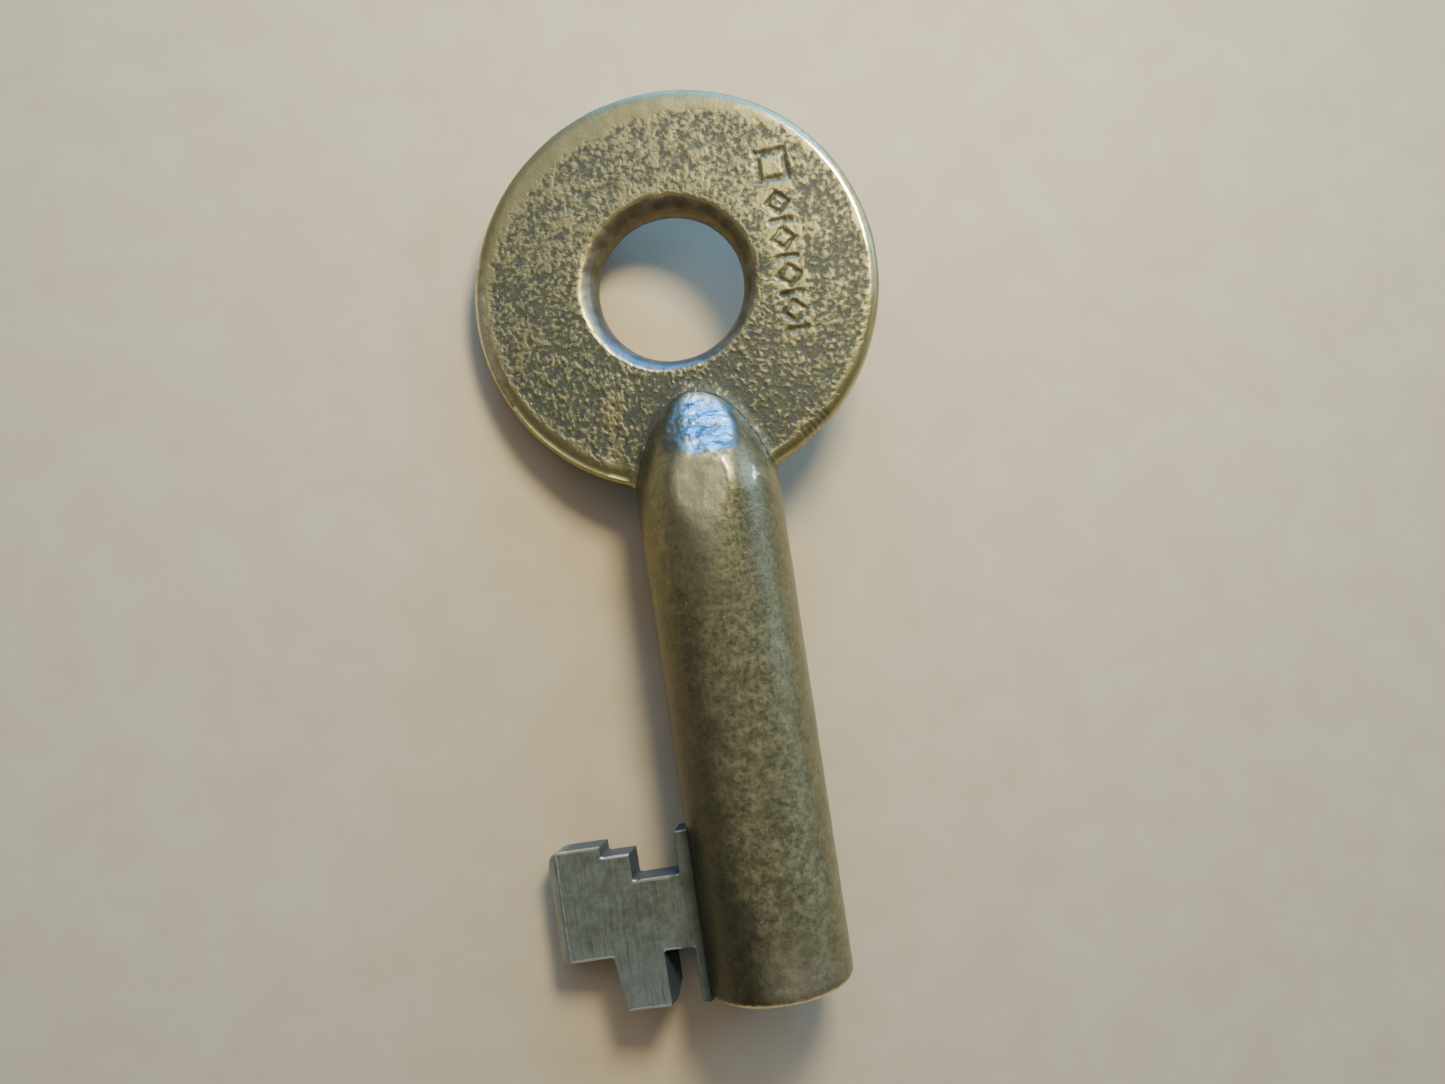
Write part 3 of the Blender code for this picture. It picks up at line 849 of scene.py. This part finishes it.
def bit_outline():
    foot_rib, foot_tooth = RIB_OUT - 0.25, STEP_1_OUT + 0.15
    top_at = (BIT_TOP_CORNER - BIT_REACH, BIT_TOP_Y - BIT_TOP_CORNER)
    foot_at = (BIT_FOOT_CORNER - BIT_REACH, BIT_FOOT_Y + BIT_FOOT_CORNER)
    top = arc(top_at, BIT_TOP_CORNER, 90, 90)
    foot = arc(foot_at, BIT_FOOT_CORNER, 180, 90)
    root = -(BARREL_RADIUS - 0.9)
    return [
        (root, RIB_TOP_Y),
        (-RIB_OUT, RIB_TOP_Y),
        (-RIB_OUT, STEP_2_Y),
        (-STEP_2_OUT, STEP_2_Y),
        (-STEP_2_OUT, STEP_1_Y),
        (-STEP_1_OUT, STEP_1_Y),
        (-STEP_1_OUT, BIT_TOP_Y),
        *top,
        *foot,
        (-foot_tooth, BIT_FOOT_Y),
        (TOOTH_TAPER - foot_tooth, TOOTH_END_Y),
        (-TOOTH_INNER_OUT, TOOTH_END_Y),
        (-TOOTH_INNER_OUT, BIT_FOOT_Y),
        (-foot_rib, BIT_FOOT_Y),
        (-foot_rib, TOOTH_END_Y),
        (root, TOOTH_END_Y),
    ]


def from_outline(points, outline):
    """How far points are from an outline, seen from the front, and how level its edge is there."""
    nearest, level = np.full(len(points), FAR), np.zeros(len(points))
    flat = points[:, :2]
    for here, after in zip(outline, outline[1:] + outline[:1]):
        here, along = np.array(here), np.array(after) - np.array(here)
        part = np.clip((flat - here) @ along / (along @ along), 0, 1)
        away = np.linalg.norm(flat - here - part[:, None] * along, axis=1)
        level = np.where(away < nearest, abs(along[0]) / np.linalg.norm(along), level)
        nearest = np.minimum(nearest, away)
    return nearest, level


def mesh_points(mesh):
    points = np.empty(len(mesh.vertices) * 3, np.float32)
    mesh.vertices.foreach_get("co", points)
    normals = np.empty(len(mesh.vertices) * 3, np.float32)
    mesh.vertices.foreach_get("normal", normals)
    return points.reshape(-1, 3).astype(float), normals.reshape(-1, 3).astype(float)


def bit_surface():
    """The bit's points, normals and faces, and how far each point stands out from a softened copy:
    above 0 on an edge, and below 0 in a corner."""
    upper = arc((BIT_EDGE_ROUND - BIT_REACH, BIT_HALF - BIT_EDGE_ROUND), BIT_EDGE_ROUND, 90, 90)
    lower = arc((BIT_EDGE_ROUND - BIT_REACH, BIT_EDGE_ROUND - BIT_HALF), BIT_EDGE_ROUND, 180, 90)
    profile = [(-1.0, BIT_HALF), *upper, *lower, (-1.0, -BIT_HALF)]
    blank = prism("bit_blank", profile, "Y", TOOTH_END_Y - 1, RIB_TOP_Y + 1)
    steps = prism("bit_steps", bit_outline(), "Z", -3.0, 3.0)
    common = blank.modifiers.new("steps", "BOOLEAN")
    common.operation, common.object, common.solver = "INTERSECT", steps, "EXACT"
    fine = blank.modifiers.new("fine", "REMESH")
    fine.mode, fine.voxel_size, fine.use_smooth_shade = "VOXEL", BIT_VOXEL, True
    soften = blank.modifiers.new("soften", "SMOOTH")
    soften.factor, soften.iterations = 0.5, 3
    graph = bpy.context.evaluated_depsgraph_get()
    crisp_mesh = bpy.data.meshes.new_from_object(blank.evaluated_get(graph))
    soften.iterations = 14
    graph = bpy.context.evaluated_depsgraph_get()
    soft_mesh = bpy.data.meshes.new_from_object(blank.evaluated_get(graph))
    points, normals = mesh_points(crisp_mesh)
    soft_points, soft_normals = mesh_points(soft_mesh)
    faces = [tuple(polygon.vertices) for polygon in crisp_mesh.polygons]
    edge = np.sum((points - soft_points) * soft_normals, axis=-1)
    for helper in (blank, steps):
        bpy.data.objects.remove(helper)
    return points, normals, faces, edge


def make_bit():
    points, normals, faces, edge = bit_surface()
    lumps = 0.02 * wander(points, 2.0, 3) + 0.008 * wander(points, 0.6, 4)
    points = points + normals * lumps[:, None]
    back = np.clip((BIT_HALF - points[:, 2]) / (2 * BIT_HALF), 0, 1)
    on_tooth = smooth(-points[:, 1], -BIT_FOOT_Y + 0.1, -BIT_FOOT_Y + 0.5)
    inner_x = -TOOTH_INNER_OUT
    by_wall = smooth(points[:, 0], -8.2, inner_x) * (points[:, 0] < inner_x + 0.3)
    points[:, 0] += WALL_SLANT * back * on_tooth * by_wall
    at_end = smooth(TOOTH_END_Y + 1.8 - points[:, 1], 0.0, 1.6) * (points[:, 0] < inner_x + 0.8)
    points[:, 1] += CORNER_CUT * np.clip(2 * back - 1, 0, 1) * at_end
    points = melded(points, normals, from_barrel, ROOT_FILLET)
    inner = smooth(points[:, 0], -12.6, -12.2) * smooth(-points[:, 0], 5.2, 6.0)
    from_edge, level = from_outline(points, bit_outline())
    rim = (1 - smooth(from_edge, 0.06, 0.24)) * smooth(points[:, 2], 1.0, 1.2)
    worn = rim * np.maximum(inner, 0.35) * (0.25 + 0.75 * smooth(level, 0.4, 0.9))
    corner_line = (1 - smooth(np.abs(points[:, 0] + 12.38), 0.04, 0.16)) * (points[:, 2] > 0)
    worn = np.maximum(worn, 0.5 * corner_line)
    pale = 0.34 * smooth(-points[:, 1], 38.0, 41.0)
    # painted reflection: pale along the bit's far left edge
    pale = np.maximum(pale, 0.5 * smooth(-points[:, 0], 12.4, 12.6))
    # painted shade in the bit's inside corners and along its join with the barrel
    by_barrel = 1 - smooth(from_barrel(points), 0.0, 1.6)
    shade_mask = np.maximum(0.8 * smooth(-edge, 0.008, 0.04), 0.7 * by_barrel)
    # the step walls painted dark blue-grey, as shade lit by the blue window lamp
    wall_shade = 0.9 * smooth(0.5 - np.abs(normals[:, 2]), 0.0, 0.2)
    wall_shade = wall_shade * smooth(points[:, 0], -12.3, -11.8)
    return new_piece(
        "bit_blade", points, faces, "bit", BIT_BRASS, worn=worn, grime=shade_mask, wall=wall_shade, pale=pale
    )


for make in (make_bow, make_shoulder, make_barrel, make_bit):
    make()


# ---- Floor, light and camera -----------------------------------------------------------------


FLOOR_HALF = 1.5  # metres


def make_floor():
    g = Graph("pale_floor")
    fibres = g.noise(0.25, detail=4.0, rough=0.6)
    colour = g.mix(g.spread(fibres, 0.3, 0.7), srgb(210, 188, 146), srgb(216, 196, 156))
    g.finish(Layer(colour, 0.0, 0.85, g.times(fibres, 0.2)), bump=0.05)
    bm = bmesh.new()
    bmesh.ops.create_grid(bm, x_segments=4, y_segments=4, size=FLOOR_HALF)
    mesh = bpy.data.meshes.new("floor")
    bm.to_mesh(mesh)
    bm.free()
    mesh.materials.append(g.material)
    floor = bpy.data.objects.new("floor", mesh)
    bpy.context.scene.collection.objects.link(floor)


# Each softbox: its azimuth and height above the floor in degrees and its distance in metres, its
# width and height in metres, how bright its face is, and its colour
LIGHTS = [
    ("window", (78, 16, 0.3), (0.28, 0.13), 13.0, (0.02, 0.335, 1.0)),
    ("key", (68, 53, 0.11), (0.0315, 0.0315), 43.0, (1.0, 0.95, 0.72)),
    ("ceiling", (108, 56, 0.45), (0.4, 0.3), 0.9, (0.78, 0.82, 1.0)),
    ("side", (14, 20, 0.6), (0.7, 0.26), 0.9, (0.66, 0.84, 1.0)),
    ("sill", (22, 23, 0.6), (0.16, 0.07), 38.0, (0.3, 0.54, 1.0)),
    ("lamp", (46, 30, 0.6), (0.1, 0.1), 4.0, (1.0, 0.95, 0.76)),
]


def make_light(name, azimuth, height, away, size, radiance, colour):
    lamp = bpy.data.lights.new(name, "AREA")
    lamp.shape, lamp.size, lamp.size_y = "RECTANGLE", size[0], size[1]
    lamp.energy, lamp.color = radiance * math.pi * size[0] * size[1], colour
    holder = bpy.data.objects.new(name, lamp)
    turn, rise = math.radians(azimuth), math.radians(height)
    level = math.cos(rise)
    towards = Vector((math.cos(turn) * level, math.sin(turn) * level, math.sin(rise)))
    holder.location = towards * away
    holder.rotation_euler = (-towards).to_track_quat("-Z", "Y").to_euler()
    bpy.context.scene.collection.objects.link(holder)


def make_world():
    world = bpy.data.worlds.new("studio")
    world.use_nodes = True
    sky = world.node_tree.nodes["Background"]
    sky.inputs["Color"].default_value = (0.9, 0.89, 1.0, 1.0)
    sky.inputs["Strength"].default_value = 0.2
    bpy.context.scene.world = world


def make_camera():
    """Almost straight above the key, as close and as wide as its perspective in the photo says."""
    camera = bpy.data.cameras.new("camera")
    camera.sensor_width = 36.0
    camera.lens = 28.33
    camera.clip_start, camera.clip_end = 0.002, 10.0
    holder = bpy.data.objects.new("camera", camera)
    holder.location = Vector((-11.05, -6.45, 73.68)) * MM
    holder.rotation_euler = Euler([math.radians(a) for a in (5.97, -8.775, -9.077)])
    bpy.context.scene.collection.objects.link(holder)
    bpy.context.scene.camera = holder


make_floor()
make_world()
for name, (azimuth, height, away), size, radiance, colour in LIGHTS:
    make_light(name, azimuth, height, away, size, radiance, colour)
make_camera()
